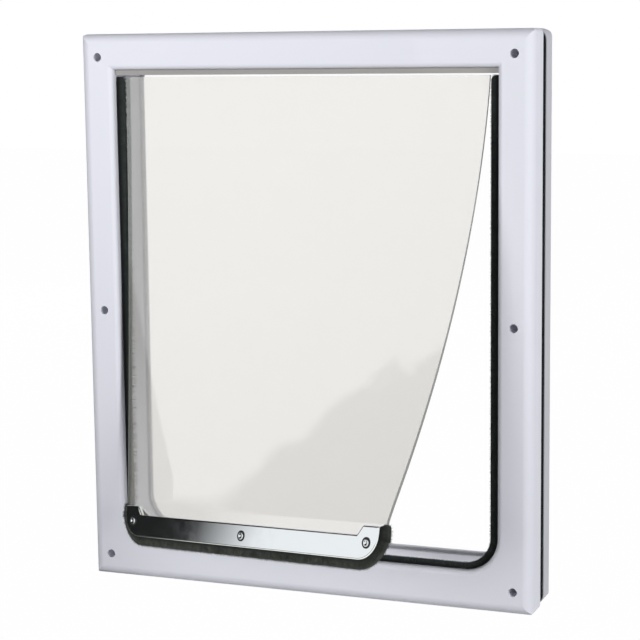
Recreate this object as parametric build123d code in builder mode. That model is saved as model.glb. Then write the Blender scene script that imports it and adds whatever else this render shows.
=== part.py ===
# Dog door with a clear flexible flap, shown half open and twisted towards the front.
# Two moulded frames clamp a door leaf between them. The flap hangs from a clamp under
# the head of the opening and is weighted by a riveted steel bar with a pile seal.
# Axes: X across the door, -Y towards the front, +Z up. The origin is the centre of the
# screw pattern, in the plane where the front flange seats on the door leaf. Sizes are in
# millimetres.
import os
from math import cos, radians, sin

from build123d import *

# Opening, with square head corners and round sill corners
opening_width = 326.0
opening_height = 394.0
sill_corner = 28.5
lip_radius = 4.0
rear_lip_step = 2.2

# Frames: borders round the opening, and hollow flanges on both sides of the door leaf
side_border = 29.0
head_border = 29.0
sill_border = 32.0
flange_depth = 24.0
leaf_gap = 10.0
front_corner = 4.5
rear_corner = 9.0
edge_radius = 8.5
wall = 3.0
fit_gap = 0.3
collar_seam_from_back = 8.0

# Six fixing screws through both frames
screw_inset_x = 16.0
screw_inset_z = 18.75
screw_hole_radius = 2.3
screw_recess_radius = 3.5
screw_recess_depth = 16.0
boss_radius = 5.5

# Stiffening ribs inside the hollow flanges
rib_thickness = 2.0
side_ribs = 6
sill_ribs = 4
rib_setback = 6.0

# Foam gasket between the flanges
gasket_inset = 0.6

# Pile seal on the jambs and sill of the opening
seal_setback = 6.6
seal_pile_thickness = 4.0
seal_backing_width = 7.0
seal_backing_thickness = 1.0
jamb_pile_height = 8.2
sill_pile_height = 6.0
pile_edge_radius = 1.5
seal_head_gap = 6.5

# Head clamp that grips the top of the flap
clamp_depth = 10.0
jaw_thickness = 3.2
jaw_rise = 12.0
jaw_drop = 4.4
hem_margin = 2.0
clamp_screw_count = 5
clamp_screw_radius = 1.5
clamp_head_radius = 3.0
clamp_head_height = 1.8
clamp_screw_inset = 18.0

# Magnet strip under the sill
magnet_length = 120.0
magnet_width = 12.0
magnet_thickness = 4.0

# Flap sheet, hanging from the hinge line just below the clamp
sheet_thickness = 2.5
flap_overlength = 1.1
shoulder_height = 18.0
left_inset = 1.0
left_forward = 18.0
bar_yaw = 25.6
bar_rise = 6.9
bar_lean = 14.9
twist_power = 1.2
forward_power = 1.7
sheet_stations = 9

# Steel bars riveted on both faces of the flap's lower edge, in the bar's own plane:
# across from its middle, and up from the line through the two end rivets
bar_end_margin = 4.0
bar_top = 5.3
ear_top = 10.4
ear_inner = 26.0
ear_slope = 9.7
bar_bottom = 12.7
bar_corner = 20.0
bar_fold = 3.75
bar_steel = 1.2
bar_fold_radius = 1.1
ear_corner = 1.5
rivet_inset = 11.5
middle_rivet_drop = 3.8
rivet_radius = 1.9
rivet_head_radius = 3.3
rivet_head_height = 1.0
rivet_eye_radius = 1.6
rivet_eye_depth = 0.8
bar_magnet_width = 8.0

# Pile seal held between the bars
flap_pile_height = 8.7
flap_pile_thickness = 6.5
carrier_width = 5.0
pile_tip_radius = 2.4

# Places worked out from the sizes above
frame_width = opening_width + 2 * side_border
frame_height = opening_height + head_border + sill_border
front_y = -flange_depth
rear_y = leaf_gap + flange_depth
collar_end = rear_y - collar_seam_from_back
collar_length = collar_end - front_y
seal_front = front_y + seal_setback
head_z = frame_height / 2 - head_border
sill_z = sill_border - frame_height / 2
jamb_x = opening_width / 2
screw_pitch_x = frame_width - 2 * screw_inset_x
screw_pitch_z = frame_height - 2 * screw_inset_z
sheet_half = jamb_x - jamb_pile_height - fit_gap
hinge_y = front_y + clamp_depth
jaw_bottom_z = head_z - jaw_drop
hinge_z = jaw_bottom_z - fit_gap - sheet_thickness / 2
jaw_half = jamb_x - fit_gap
jaw_top_z = head_z + jaw_rise
bar_half = sheet_half - bar_end_margin
bar_face = sheet_thickness / 2 + bar_fold
flap_length = hinge_z - sill_z + flap_overlength
sheet_drop = flap_length - shoulder_height - bar_bottom - flap_pile_height


def facing_front(y):
    """Drawing plane at depth y that faces the front, with its own y axis up."""
    return Plane.XZ.offset(-y)


def facing_back(y):
    """Drawing plane at depth y that faces the back, with its own y axis up."""
    return Plane(origin=(0, y, 0), x_dir=(-1, 0, 0), z_dir=(0, 1, 0))


def opening_outline(grow):
    """Outline of the opening, grown outwards by a wall or inwards by a lip."""
    with BuildSketch() as outline:
        with Locations((0, (head_z + sill_z) / 2)):
            Rectangle(opening_width + 2 * grow, opening_height + 2 * grow)
        fillet(outline.vertices().group_by(Axis.Y)[0], sill_corner + grow)
    return outline.sketch


def flange_outline(corner, shrink):
    """Outline of a flange, shrunk inwards by a wall."""
    with BuildSketch() as outline:
        RectangleRounded(frame_width - 2 * shrink, frame_height - 2 * shrink, corner - shrink)
    return outline.sketch


def flange_slab(corner, shrink):
    """Solid flange whose rounded outer edges meet in mitres, shrunk inwards by a wall."""
    with BuildPart() as slab:
        with BuildSketch():
            Rectangle(frame_width - 2 * shrink, frame_height - 2 * shrink)
        extrude(amount=flange_depth - shrink)
        fillet(slab.faces().sort_by(Axis.Z)[0].edges(), edge_radius - shrink)
        with BuildSketch():
            add(flange_outline(corner, shrink))
        extrude(amount=flange_depth - shrink, mode=Mode.INTERSECT)
    return slab.part


clear_opening = opening_outline(0)
collar_outside = opening_outline(wall)
socket_inside = opening_outline(wall + fit_gap)
socket_outside = opening_outline(2 * wall + fit_gap)

screw_places = [
    (x * screw_pitch_x / 2, z * screw_pitch_z / 2) for x in (-1, 1) for z in (-1, 0, 1)
]


def places_on(plane, points):
    """Locations of flat points on a plane."""
    return [plane.location * Location((x, z, 0)) for x, z in points]


def rib_strips():
    """Narrow rectangles across the hollow of a flange, clear of screws and of the clamp."""
    side_x = jamb_x + side_border / 2
    low_z = sill_z - sill_border / 2
    side_pitch = (head_z - sill_z) / (side_ribs + 1)
    low_pitch = opening_width / (sill_ribs + 1)
    with BuildSketch() as strips:
        with Locations((-side_x, (head_z + sill_z) / 2), (side_x, (head_z + sill_z) / 2)):
            with GridLocations(0, side_pitch, 1, side_ribs):
                Rectangle(side_border - wall, rib_thickness)
        with Locations((0, low_z)):
            with GridLocations(low_pitch, 0, sill_ribs, 1):
                Rectangle(rib_thickness, sill_border - wall)
    return strips.sketch



def flange_ribs(corner):
    """Ribs that fill a hollow flange from wall to wall, up to a setback from its open side."""
    with BuildPart() as ribs:
        add(flange_slab(corner, wall / 2))
        with BuildSketch():
            add(rib_strips())
        extrude(amount=flange_depth - wall / 2 - rib_setback, mode=Mode.INTERSECT)
    return ribs.part


# Front frame: hollow flange, collar through the door leaf, bosses and a slot for the clamp
with BuildPart() as front_frame:
    add(flange_slab(front_corner, 0).moved(facing_back(front_y).location))
    add(
        flange_slab(front_corner, wall).moved(facing_back(front_y + wall).location),
        mode=Mode.SUBTRACT,
    )
    add(flange_ribs(front_corner).moved(facing_back(front_y + wall / 2).location))
    with BuildSketch(facing_front(front_y)):
        add(collar_outside)
    extrude(amount=-collar_length)
    with Locations(*places_on(facing_front(front_y + wall), screw_places)):
        Cylinder(boss_radius, flange_depth - wall, align=(Align.CENTER, Align.CENTER, Align.MAX))
    with BuildSketch(facing_front(front_y)):
        add(clear_opening)
    extrude(amount=-collar_length, mode=Mode.SUBTRACT)
    fillet(
        front_frame.faces().sort_by(Axis.Y)[0].inner_wires()[0].edges(),
        lip_radius,
    )
    with Locations(*places_on(facing_front(front_y), screw_places)):
        CounterBoreHole(
            screw_hole_radius, screw_recess_radius, screw_recess_depth, depth=flange_depth
        )
    with Locations((0, hinge_y, head_z + wall / 2)):
        Box(
            2 * (jaw_half + fit_gap),
            sheet_thickness + 2 * (jaw_thickness + fit_gap),
            wall + 1,
            mode=Mode.SUBTRACT,
        )
    with Locations((0, hinge_y, sill_z - wall)):
        Box(
            magnet_length + 2 * fit_gap,
            magnet_width + 2 * fit_gap,
            magnet_thickness + fit_gap,
            align=(Align.CENTER, Align.CENTER, Align.MAX),
            mode=Mode.SUBTRACT,
        )

# Rear frame: the same hollow flange turned round, with a socket that takes the front collar
# and a lip that stands in from the wall of the collar
with BuildPart() as rear_frame:
    add(flange_slab(rear_corner, 0).moved(facing_front(rear_y).location))
    add(
        flange_slab(rear_corner, wall).moved(facing_front(rear_y - wall).location),
        mode=Mode.SUBTRACT,
    )
    add(flange_ribs(rear_corner).moved(facing_front(rear_y - wall / 2).location))
    with BuildSketch(facing_back(rear_y)):
        add(socket_outside)
    extrude(amount=-flange_depth)
    with Locations(*places_on(facing_back(rear_y - wall), screw_places)):
        Cylinder(boss_radius, flange_depth - wall, align=(Align.CENTER, Align.CENTER, Align.MAX))
    with BuildSketch(facing_back(collar_end + fit_gap)):
        add(socket_inside)
    extrude(amount=-flange_depth, mode=Mode.SUBTRACT)
    with BuildSketch(facing_back(rear_y)):
        add(opening_outline(-rear_lip_step))
    extrude(amount=-flange_depth, mode=Mode.SUBTRACT)
    fillet(
        rear_frame.faces().sort_by(Axis.Y)[-1].inner_wires()[0].edges(),
        lip_radius,
    )
    with Locations(*places_on(facing_back(rear_y), screw_places)):
        CounterBoreHole(
            screw_hole_radius, screw_recess_radius, screw_recess_depth, depth=flange_depth
        )

# Foam gasket that fills the space between the flanges, round the collar
with BuildPart() as door_gasket:
    with BuildSketch(facing_front(0)):
        add(flange_outline(rear_corner, gasket_inset))
        add(socket_inside, mode=Mode.SUBTRACT)
        with Locations(*screw_places):
            Circle(screw_hole_radius, mode=Mode.SUBTRACT)
    extrude(amount=-leaf_gap)


def seal_passage(jamb_height, sill_height):
    """Passage that a seal leaves free in the opening."""
    with BuildSketch() as passage:
        with Locations((0, sill_z + sill_height)):
            Rectangle(
                opening_width - 2 * jamb_height, opening_height, align=(Align.CENTER, Align.MIN)
            )
        fillet(passage.vertices().group_by(Axis.Y)[0], sill_corner - jamb_height)
    return passage.sketch


# The seal stops short of the head of the opening
with BuildSketch() as seal_reach:
    add(clear_opening)
    with Locations((0, head_z - seal_head_gap)):
        Rectangle(
            opening_width, seal_head_gap, align=(Align.CENTER, Align.MIN), mode=Mode.SUBTRACT
        )

# Pile seal: one strip bent round the sill corners, with a woven backing and a pile fin
seal_void = extrude(
    facing_front(seal_front) * seal_passage(jamb_pile_height, sill_pile_height),
    amount=-seal_pile_thickness,
)
with BuildPart() as frame_pile_seal:
    with BuildSketch(facing_front(seal_front)):
        add(seal_reach.sketch)
    extrude(amount=-seal_pile_thickness)
    add(seal_void, mode=Mode.SUBTRACT)
    tip_edges = [
        edge
        for edge in frame_pile_seal.edges().filter_by(Axis.Y, reverse=True)
        if seal_void.distance_to(edge @ 0.5) < 0.01
    ]
    fillet(tip_edges, pile_edge_radius)
    with BuildSketch(facing_front(seal_front - (seal_backing_width - seal_pile_thickness) / 2)):
        add(seal_reach.sketch)
        add(seal_passage(seal_backing_thickness, seal_backing_thickness), mode=Mode.SUBTRACT)
    extrude(amount=-seal_backing_width)

# Head clamp: two jaws that stand in the slot of the front frame
hem_front = hinge_y - sheet_thickness / 2
hem_back = hinge_y + sheet_thickness / 2
screw_span = 2 * (jaw_half - clamp_screw_inset)
clamp_points = [
    (screw_span * (index / (clamp_screw_count - 1) - 0.5), (head_z + wall + jaw_top_z) / 2)
    for index in range(clamp_screw_count)
]


def clamp_strip(y_front, thickness, half_length, top_z, hole_radius):
    """Strip of the head clamp with a row of screw holes."""
    with BuildPart() as strip:
        with BuildSketch(facing_front(y_front)):
            with Locations((0, jaw_bottom_z)):
                Rectangle(2 * half_length, top_z - jaw_bottom_z, align=(Align.CENTER, Align.MIN))
            with Locations(*clamp_points):
                Circle(hole_radius, mode=Mode.SUBTRACT)
        extrude(amount=-thickness)
    return strip


clamp_front_jaw = clamp_strip(
    hem_front - jaw_thickness, jaw_thickness, jaw_half, jaw_top_z, clamp_screw_radius + 0.05
)
clamp_rear_jaw = clamp_strip(
    hem_back, jaw_thickness, jaw_half, jaw_top_z, clamp_screw_radius + fit_gap
)

# Top hem of the flap sheet, gripped by the jaws
flap_hem = clamp_strip(
    hem_front, sheet_thickness, sheet_half, jaw_top_z - hem_margin, clamp_screw_radius + fit_gap
)

# Screws of the clamp, with round heads at the back
with BuildPart() as clamp_screws:
    shank = sheet_thickness + 2 * jaw_thickness
    with Locations(*places_on(facing_back(hem_back + jaw_thickness), clamp_points)):
        Cylinder(clamp_screw_radius, shank, align=(Align.CENTER, Align.CENTER, Align.MAX))
        Cylinder(
            clamp_head_radius, clamp_head_height, align=(Align.CENTER, Align.CENTER, Align.MIN)
        )
    heads = clamp_screws.edges().filter_by(GeomType.CIRCLE).group_by(Axis.Y)[-1]
    fillet(heads, clamp_head_height * 0.6)

# Magnet strip under the floor of the collar, which draws the bar to the middle
with BuildPart() as sill_magnet:
    with Locations((0, hinge_y, sill_z - wall)):
        Box(
            magnet_length,
            magnet_width,
            magnet_thickness,
            align=(Align.CENTER, Align.CENTER, Align.MAX),
        )

# Plane of the bar: it is turned, raised at its right end and leans back at its top
yaw, rise, lean = radians(bar_yaw), radians(bar_rise), radians(bar_lean)
bar_across = Vector(cos(yaw) * cos(rise), -sin(yaw) * cos(rise), sin(rise))
level_front = Vector(-sin(yaw), -cos(yaw), 0)
upright = level_front.cross(bar_across)
square_front = bar_across.cross(upright)
bar_up = upright * cos(lean) - square_front * sin(lean)
bar_front = square_front * cos(lean) + upright * sin(lean)
left_shoulder = Vector(-sheet_half + left_inset, hinge_y - left_forward, hinge_z - sheet_drop)
bar_middle = left_shoulder + bar_across * sheet_half - bar_up * shoulder_height
bar_plane = Plane(origin=bar_middle, x_dir=bar_across, z_dir=bar_front)


def left_edge(share):
    """Point of the sheet's left edge, from the hinge line at 0 to the shoulder at 1."""
    return Vector(
        -sheet_half + left_inset * share**2,
        hinge_y - left_forward * share**forward_power,
        hinge_z - sheet_drop * share,
    )


def across(share):
    """Direction of the sheet's level line at a share of its drop."""
    turn, climb = yaw * share**twist_power, rise * share**twist_power
    return Vector(cos(turn) * cos(climb), -sin(turn) * cos(climb), sin(climb))


def sheet_section(share):
    """Plane across the sheet at a share of its drop, facing down along it."""
    middle = left_edge(share) + across(share) * sheet_half
    step = 0.02
    above = left_edge(max(share - step, 0)) + across(max(share - step, 0)) * sheet_half
    below = left_edge(share + step) + across(share + step) * sheet_half
    down = (below - above).normalized()
    down = down - across(share) * down.dot(across(share))
    return Plane(origin=middle, x_dir=across(share), z_dir=down)


def bar_outline(grow, top):
    """Outline round the lower edge of the flap, grown from that of the bar."""
    with BuildSketch() as outline:
        with Locations((0, -bar_bottom - grow)):
            Rectangle(
                2 * (bar_half + grow), bar_bottom + grow + top, align=(Align.CENTER, Align.MIN)
            )
        fillet(outline.vertices().group_by(Axis.Y)[0], bar_corner + grow)
    return outline.sketch


def eared_outline():
    """Outline of a bar, with a raised ear at each end."""
    inner = bar_half - ear_inner
    with BuildSketch() as outline:
        add(bar_outline(0, ear_top))
        with BuildSketch(mode=Mode.SUBTRACT):
            with BuildLine():
                Polyline(
                    (-inner - ear_slope, ear_top),
                    (-inner, bar_top),
                    (inner, bar_top),
                    (inner + ear_slope, ear_top),
                    close=True,
                )
            make_face()
        fillet(outline.vertices().group_by(Axis.Y)[-1].sort_by(Axis.X)[0], ear_corner)
        fillet(outline.vertices().group_by(Axis.Y)[-1].sort_by(Axis.X)[-1], ear_corner)
    return outline.sketch


bar_face_outline = eared_outline()
rivet_points = [
    (-bar_half + rivet_inset, 0),
    (0, -middle_rivet_drop),
    (bar_half - rivet_inset, 0),
]
shoulder_top = ear_top + fit_gap
shoulder_section = Plane(
    origin=bar_middle + bar_up * shoulder_height, x_dir=bar_across, z_dir=bar_up * -1
)

# Flap sheet: a twisted stretch from the hinge line, and a flat tail between the bars
with BuildPart() as flap_sheet:
    with BuildSketch(sheet_section(0).offset(-sheet_thickness / 2)):
        Rectangle(2 * sheet_half, sheet_thickness)
    for index in range(1, sheet_stations):
        with BuildSketch(sheet_section(index / sheet_stations)):
            Rectangle(2 * sheet_half, sheet_thickness)
    with BuildSketch(shoulder_section):
        Rectangle(2 * sheet_half, sheet_thickness)
    loft()
    top_edges = flap_sheet.faces().sort_by(Axis.Z)[-1].edges().sort_by(SortBy.LENGTH)[-2:]
    fillet(top_edges, sheet_thickness * 0.48)
    with BuildSketch(bar_plane):
        with Locations((0, shoulder_top)):
            Rectangle(
                2 * sheet_half, shoulder_height - shoulder_top, align=(Align.CENTER, Align.MIN)
            )
        add(bar_outline(-carrier_width - fit_gap, shoulder_top))
        with Locations(*rivet_points):
            Circle(rivet_radius + fit_gap, mode=Mode.SUBTRACT)
    extrude(amount=sheet_thickness / 2, both=True)


def pressed_bar(front):
    """Shallow steel tray on one face of the flap, open towards the sheet."""
    side = 1 if front else -1
    with BuildPart() as bar:
        with BuildSketch(bar_plane.offset(side * sheet_thickness / 2)):
            add(bar_face_outline)
        extrude(amount=side * bar_fold)
        outer = bar.faces().filter_by(Axis(bar_middle, bar_front)).sort_by(
            Axis(bar_middle, bar_front * side)
        )[-1]
        fillet(outer.edges(), bar_fold_radius)
        with BuildSketch(bar_plane.offset(side * sheet_thickness / 2)):
            offset(bar_face_outline, amount=-bar_steel)
        extrude(amount=side * (bar_fold - bar_steel), mode=Mode.SUBTRACT)
        with BuildSketch(bar_plane.offset(side * sheet_thickness / 2)):
            with Locations(*rivet_points):
                Circle(rivet_radius + 0.05)
        extrude(amount=side * bar_fold, mode=Mode.SUBTRACT)
    return bar


front_bar = pressed_bar(True)
rear_bar = pressed_bar(False)

# Magnet strips inside the front bar, between the rivets
with BuildPart() as bar_magnets:
    magnet_start = 2 * rivet_head_radius
    magnet_end = bar_half - ear_inner
    with BuildSketch(bar_plane.offset(sheet_thickness / 2)):
        with Locations(
            (-(magnet_start + magnet_end) / 2, (bar_top - bar_bottom) / 2),
            ((magnet_start + magnet_end) / 2, (bar_top - bar_bottom) / 2),
        ):
            Rectangle(magnet_end - magnet_start, bar_magnet_width)
    extrude(amount=bar_fold - bar_steel)

# Rivets with a flat head at the back and a dimpled head at the front
with BuildPart() as rivet:
    with BuildSketch(Plane.XZ):
        with BuildLine():
            Polyline(
                (0, -bar_face),
                (rivet_head_radius, -bar_face),
                (rivet_head_radius, -bar_face - rivet_head_height * 0.4),
                (rivet_head_radius * 0.75, -bar_face - rivet_head_height),
                (0, -bar_face - rivet_head_height),
                close=True,
            )
        make_face()
        with Locations((rivet_radius / 2, 0)):
            Rectangle(rivet_radius, 2 * bar_face)
        with BuildLine():
            Polyline(
                (0, bar_face),
                (rivet_head_radius, bar_face),
                (rivet_head_radius, bar_face + rivet_head_height * 0.4),
                (rivet_head_radius * 0.75, bar_face + rivet_head_height),
                (rivet_eye_radius, bar_face + rivet_head_height),
                (rivet_eye_radius * 0.6, bar_face + rivet_head_height - rivet_eye_depth),
                (0, bar_face + rivet_head_height - rivet_eye_depth),
                close=True,
            )
        make_face()
    revolve(axis=Axis.Z)

with BuildPart() as bar_rivets:
    with Locations(*places_on(bar_plane, rivet_points)):
        add(rivet.part)

# Pile seal round the lower edge of the flap, its carrier held between the bars
with BuildPart() as flap_pile_seal:
    with BuildSketch(bar_plane):
        add(bar_outline(flap_pile_height, ear_top))
    extrude(amount=flap_pile_thickness / 2, both=True)
    pile_faces = flap_pile_seal.faces().sort_by(Axis(bar_middle, bar_front))
    fillet(pile_faces[0].edges() + pile_faces[-1].edges(), pile_tip_radius)
    with BuildSketch(bar_plane):
        add(bar_outline(0, shoulder_height))
    extrude(amount=flap_pile_thickness / 2, both=True, mode=Mode.SUBTRACT)
    with BuildSketch(bar_plane):
        add(bar_outline(0, ear_top))
        add(bar_outline(-carrier_width, shoulder_height), mode=Mode.SUBTRACT)
    extrude(amount=sheet_thickness / 2, both=True)

pieces = {
    "front_frame": front_frame,
    "rear_frame": rear_frame,
    "door_gasket": door_gasket,
    "frame_pile_seal": frame_pile_seal,
    "clamp_front_jaw": clamp_front_jaw,
    "clamp_rear_jaw": clamp_rear_jaw,
    "clamp_screws": clamp_screws,
    "flap_hem": flap_hem,
    "sill_magnet": sill_magnet,
    "flap_sheet": flap_sheet,
    "front_bar": front_bar,
    "rear_bar": rear_bar,
    "bar_magnets": bar_magnets,
    "bar_rivets": bar_rivets,
    "flap_pile_seal": flap_pile_seal,
}

os.makedirs("parts", exist_ok=True)
for name, piece in pieces.items():
    piece.part.label = name
    export_step(piece.part, f"parts/{name}.step")
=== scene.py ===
"""Dog door: two moulded frames round a clear flexible flap, shown half open."""

import logging
import random
from bisect import bisect_left
from dataclasses import dataclass
from enum import Enum
from math import cos, pi, radians, sin, sqrt
from typing import Dict, List, Optional, Sequence, Tuple

import bpy
from mathutils import Matrix, Vector


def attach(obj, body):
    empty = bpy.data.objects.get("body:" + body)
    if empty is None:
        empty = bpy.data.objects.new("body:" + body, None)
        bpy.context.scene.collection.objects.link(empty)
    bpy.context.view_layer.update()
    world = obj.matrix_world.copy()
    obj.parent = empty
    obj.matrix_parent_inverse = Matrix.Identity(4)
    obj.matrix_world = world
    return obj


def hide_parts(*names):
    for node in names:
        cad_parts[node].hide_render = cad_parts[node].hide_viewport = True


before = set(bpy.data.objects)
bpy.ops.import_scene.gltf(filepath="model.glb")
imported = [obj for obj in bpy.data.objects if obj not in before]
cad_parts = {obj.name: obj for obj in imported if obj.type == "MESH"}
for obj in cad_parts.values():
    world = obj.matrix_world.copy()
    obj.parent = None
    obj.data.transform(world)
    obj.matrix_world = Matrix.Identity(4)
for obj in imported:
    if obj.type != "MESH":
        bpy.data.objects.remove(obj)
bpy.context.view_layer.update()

MM = 0.001
# Slack for comparing places, in millimetres.
HAIR = 0.01
# A face whose normal has this share of its length along an axis is square to it.
SQUARE_ON = 0.99
# A point of a brush's outline in its plane: two pairs of numbers, and the swell there.
OutlinePoint = Tuple[float, float, float, float, float]
log = logging.getLogger("dog_door")


def linear(code: str, alpha: float = 1.0) -> Tuple[float, float, float, float]:
    """Turn an sRGB hex colour into a linear colour.

    Args:
        code: Six hex digits, such as "E3E5F0".
        alpha: Opacity that goes with the colour.

    Returns:
        Linear red, green, blue and the alpha.
    """
    channels = [int(code[i : i + 2], 16) / 255 for i in (0, 2, 4)]
    red, green, blue = [c / 12.92 if c <= 0.04045 else ((c + 0.055) / 1.055) ** 2.4 for c in channels]
    return (red, green, blue, alpha)


def add_node(
    tree: bpy.types.NodeTree,
    kind: str,
    settings: Optional[Dict[str, object]] = None,
    inputs: Optional[Dict[object, object]] = None,
) -> bpy.types.Node:
    """Add a node with its settings, its input values and its links.

    Args:
        tree: Node tree that gets the node.
        kind: Blender's name of the node type.
        settings: Node properties by name.
        inputs: Values or output sockets by the name or number of the input.

    Returns:
        The new node.
    """
    node = tree.nodes.new(kind)
    for name, value in (settings or {}).items():
        setattr(node, name, value)
    for key, value in (inputs or {}).items():
        if isinstance(value, bpy.types.NodeSocket):
            tree.links.new(value, node.inputs[key])
        else:
            node.inputs[key].default_value = value
    return node


def new_material(name: str) -> Tuple[bpy.types.Material, bpy.types.NodeTree, bpy.types.Node]:
    """Start a material with nodes.

    Args:
        name: Name of the material.

    Returns:
        The material, its node tree and its main shader.
    """
    material = bpy.data.materials.new(name)
    material.use_nodes = True
    tree = material.node_tree
    return material, tree, tree.nodes["Principled BSDF"]


def face_outwards() -> None:
    """Turn all faces of the active object outwards."""
    bpy.ops.object.mode_set(mode="EDIT")
    bpy.ops.mesh.select_all(action="SELECT")
    bpy.ops.mesh.normals_make_consistent(inside=False)
    bpy.ops.object.mode_set(mode="OBJECT")


class Surface(Enum):
    """Named finishes of the dog door."""

    MOULDED_WHITE = "moulded_white_abs"
    CLEAR_VINYL = "clear_flexible_vinyl"
    BRUSH_PILE_PAINTED_LIGHT = "black_pile_painted_light"
    STEEL = "polished_stainless_steel"
    FOAM_AND_PAINTED_SHADE = "black_foam_and_painted_shade"
    MAGNET = "bonded_magnet"
    CLAMP_PAINTED_SHADE = "clamp_abs_painted_shade"
    MOULDED_REAR_PAINTED_SHADE = "rear_abs_painted_shade"
    FRAME_PILE_PAINTED_LIGHT = "frame_pile_painted_light"
    VINYL_EDGE_PAINTED_SHADE = "vinyl_edge_painted_shade"
    VINYL_BAND_PAINTED_SHADE = "vinyl_band_painted_shade"
    RIVET_RIM_PAINTED_SHADE = "rivet_rim_painted_shade"


@dataclass(frozen=True)
class MouldedPlastic:
    """Injection-moulded ABS with a fine satin texture from its mould.

    It gives a soft sheen on the rounded edges, and very faint waves over the flat faces.
    """

    colour: str
    roughness: float
    # The mould's texture is near 0.1 mm. It is drawn coarser, so that it shows.
    grain_mm: float = 0.9
    wave_mm: float = 55.0
    roughness_wave: float = 0.04
    ior: float = 1.53

    def make(self, name: str) -> bpy.types.Material:
        """Build the material.

        Args:
            name: Name of the material.

        Returns:
            The material.
        """
        material, tree, shader = new_material(name)
        shader.inputs["Base Color"].default_value = linear(self.colour)
        shader.inputs["IOR"].default_value = self.ior
        place = add_node(tree, "ShaderNodeTexCoord")
        grain = add_node(
            tree,
            "ShaderNodeTexNoise",
            inputs={"Vector": place.outputs["Object"], "Scale": 1 / (self.grain_mm * MM), "Detail": 3.0},
        )
        waves = add_node(
            tree,
            "ShaderNodeTexNoise",
            inputs={"Vector": place.outputs["Object"], "Scale": 1 / (self.wave_mm * MM), "Detail": 1.0},
        )
        gloss = add_node(
            tree,
            "ShaderNodeMapRange",
            inputs={
                "Value": waves.outputs["Fac"],
                "From Min": 0.3,
                "From Max": 0.7,
                "To Min": self.roughness - self.roughness_wave,
                "To Max": self.roughness + self.roughness_wave,
            },
        )
        fine = add_node(
            tree,
            "ShaderNodeBump",
            inputs={"Strength": 0.05, "Distance": 0.02 * MM, "Height": grain.outputs["Fac"]},
        )
        tree.links.new(gloss.outputs["Result"], shader.inputs["Roughness"])
        tree.links.new(fine.outputs["Normal"], shader.inputs["Normal"])
        return material


@dataclass(frozen=True)
class ClearVinyl:
    """Calendered flexible PVC sheet, 2.5 mm thick, water-clear with a warm ivory cast.

    It is glossy, lets the white ground show through, and takes a grey haze as painted shade where it is
    seen edge on.
    """

    colour: str
    haze: str
    haze_share: float
    wave_mm: float = 70.0
    # Vinyl has 1.54. With more, the edge of the light mirrors as strongly as on the real sheet.
    ior: float = 2.05
    haze_ior: float = 1.52
    haze_roughness: float = 0.12

    def make(self, name: str) -> bpy.types.Material:
        """Build the material.

        Args:
            name: Name of the material.

        Returns:
            The material.
        """
        material, tree, shader = new_material(name)
        shader.inputs["Base Color"].default_value = linear(self.colour)
        shader.inputs["IOR"].default_value = self.ior
        shader.inputs["Transmission Weight"].default_value = 1.0
        place = add_node(tree, "ShaderNodeTexCoord")
        waves = add_node(
            tree,
            "ShaderNodeTexNoise",
            inputs={"Vector": place.outputs["Object"], "Scale": 1 / (self.wave_mm * MM), "Detail": 1.0},
        )
        ripple = add_node(
            tree,
            "ShaderNodeBump",
            inputs={"Strength": 0.1, "Distance": 1.0 * MM, "Height": waves.outputs["Fac"]},
        )
        gloss = add_node(
            tree,
            "ShaderNodeMapRange",
            inputs={"Value": waves.outputs["Fac"], "To Min": 0.02, "To Max": 0.07},
        )
        tree.links.new(gloss.outputs["Result"], shader.inputs["Roughness"])
        tree.links.new(ripple.outputs["Normal"], shader.inputs["Normal"])
        haze = add_node(
            tree,
            "ShaderNodeBsdfPrincipled",
            inputs={
                "Base Color": linear(self.haze),
                "Roughness": self.haze_roughness,
                "IOR": self.haze_ior,
                "Normal": ripple.outputs["Normal"],
            },
        )
        mix = add_node(
            tree,
            "ShaderNodeMixShader",
            inputs={0: self.haze_share, 1: shader.outputs["BSDF"], 2: haze.outputs["BSDF"]},
        )
        tree.links.new(mix.outputs["Shader"], tree.nodes["Material Output"].inputs["Surface"])
        return material


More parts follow.
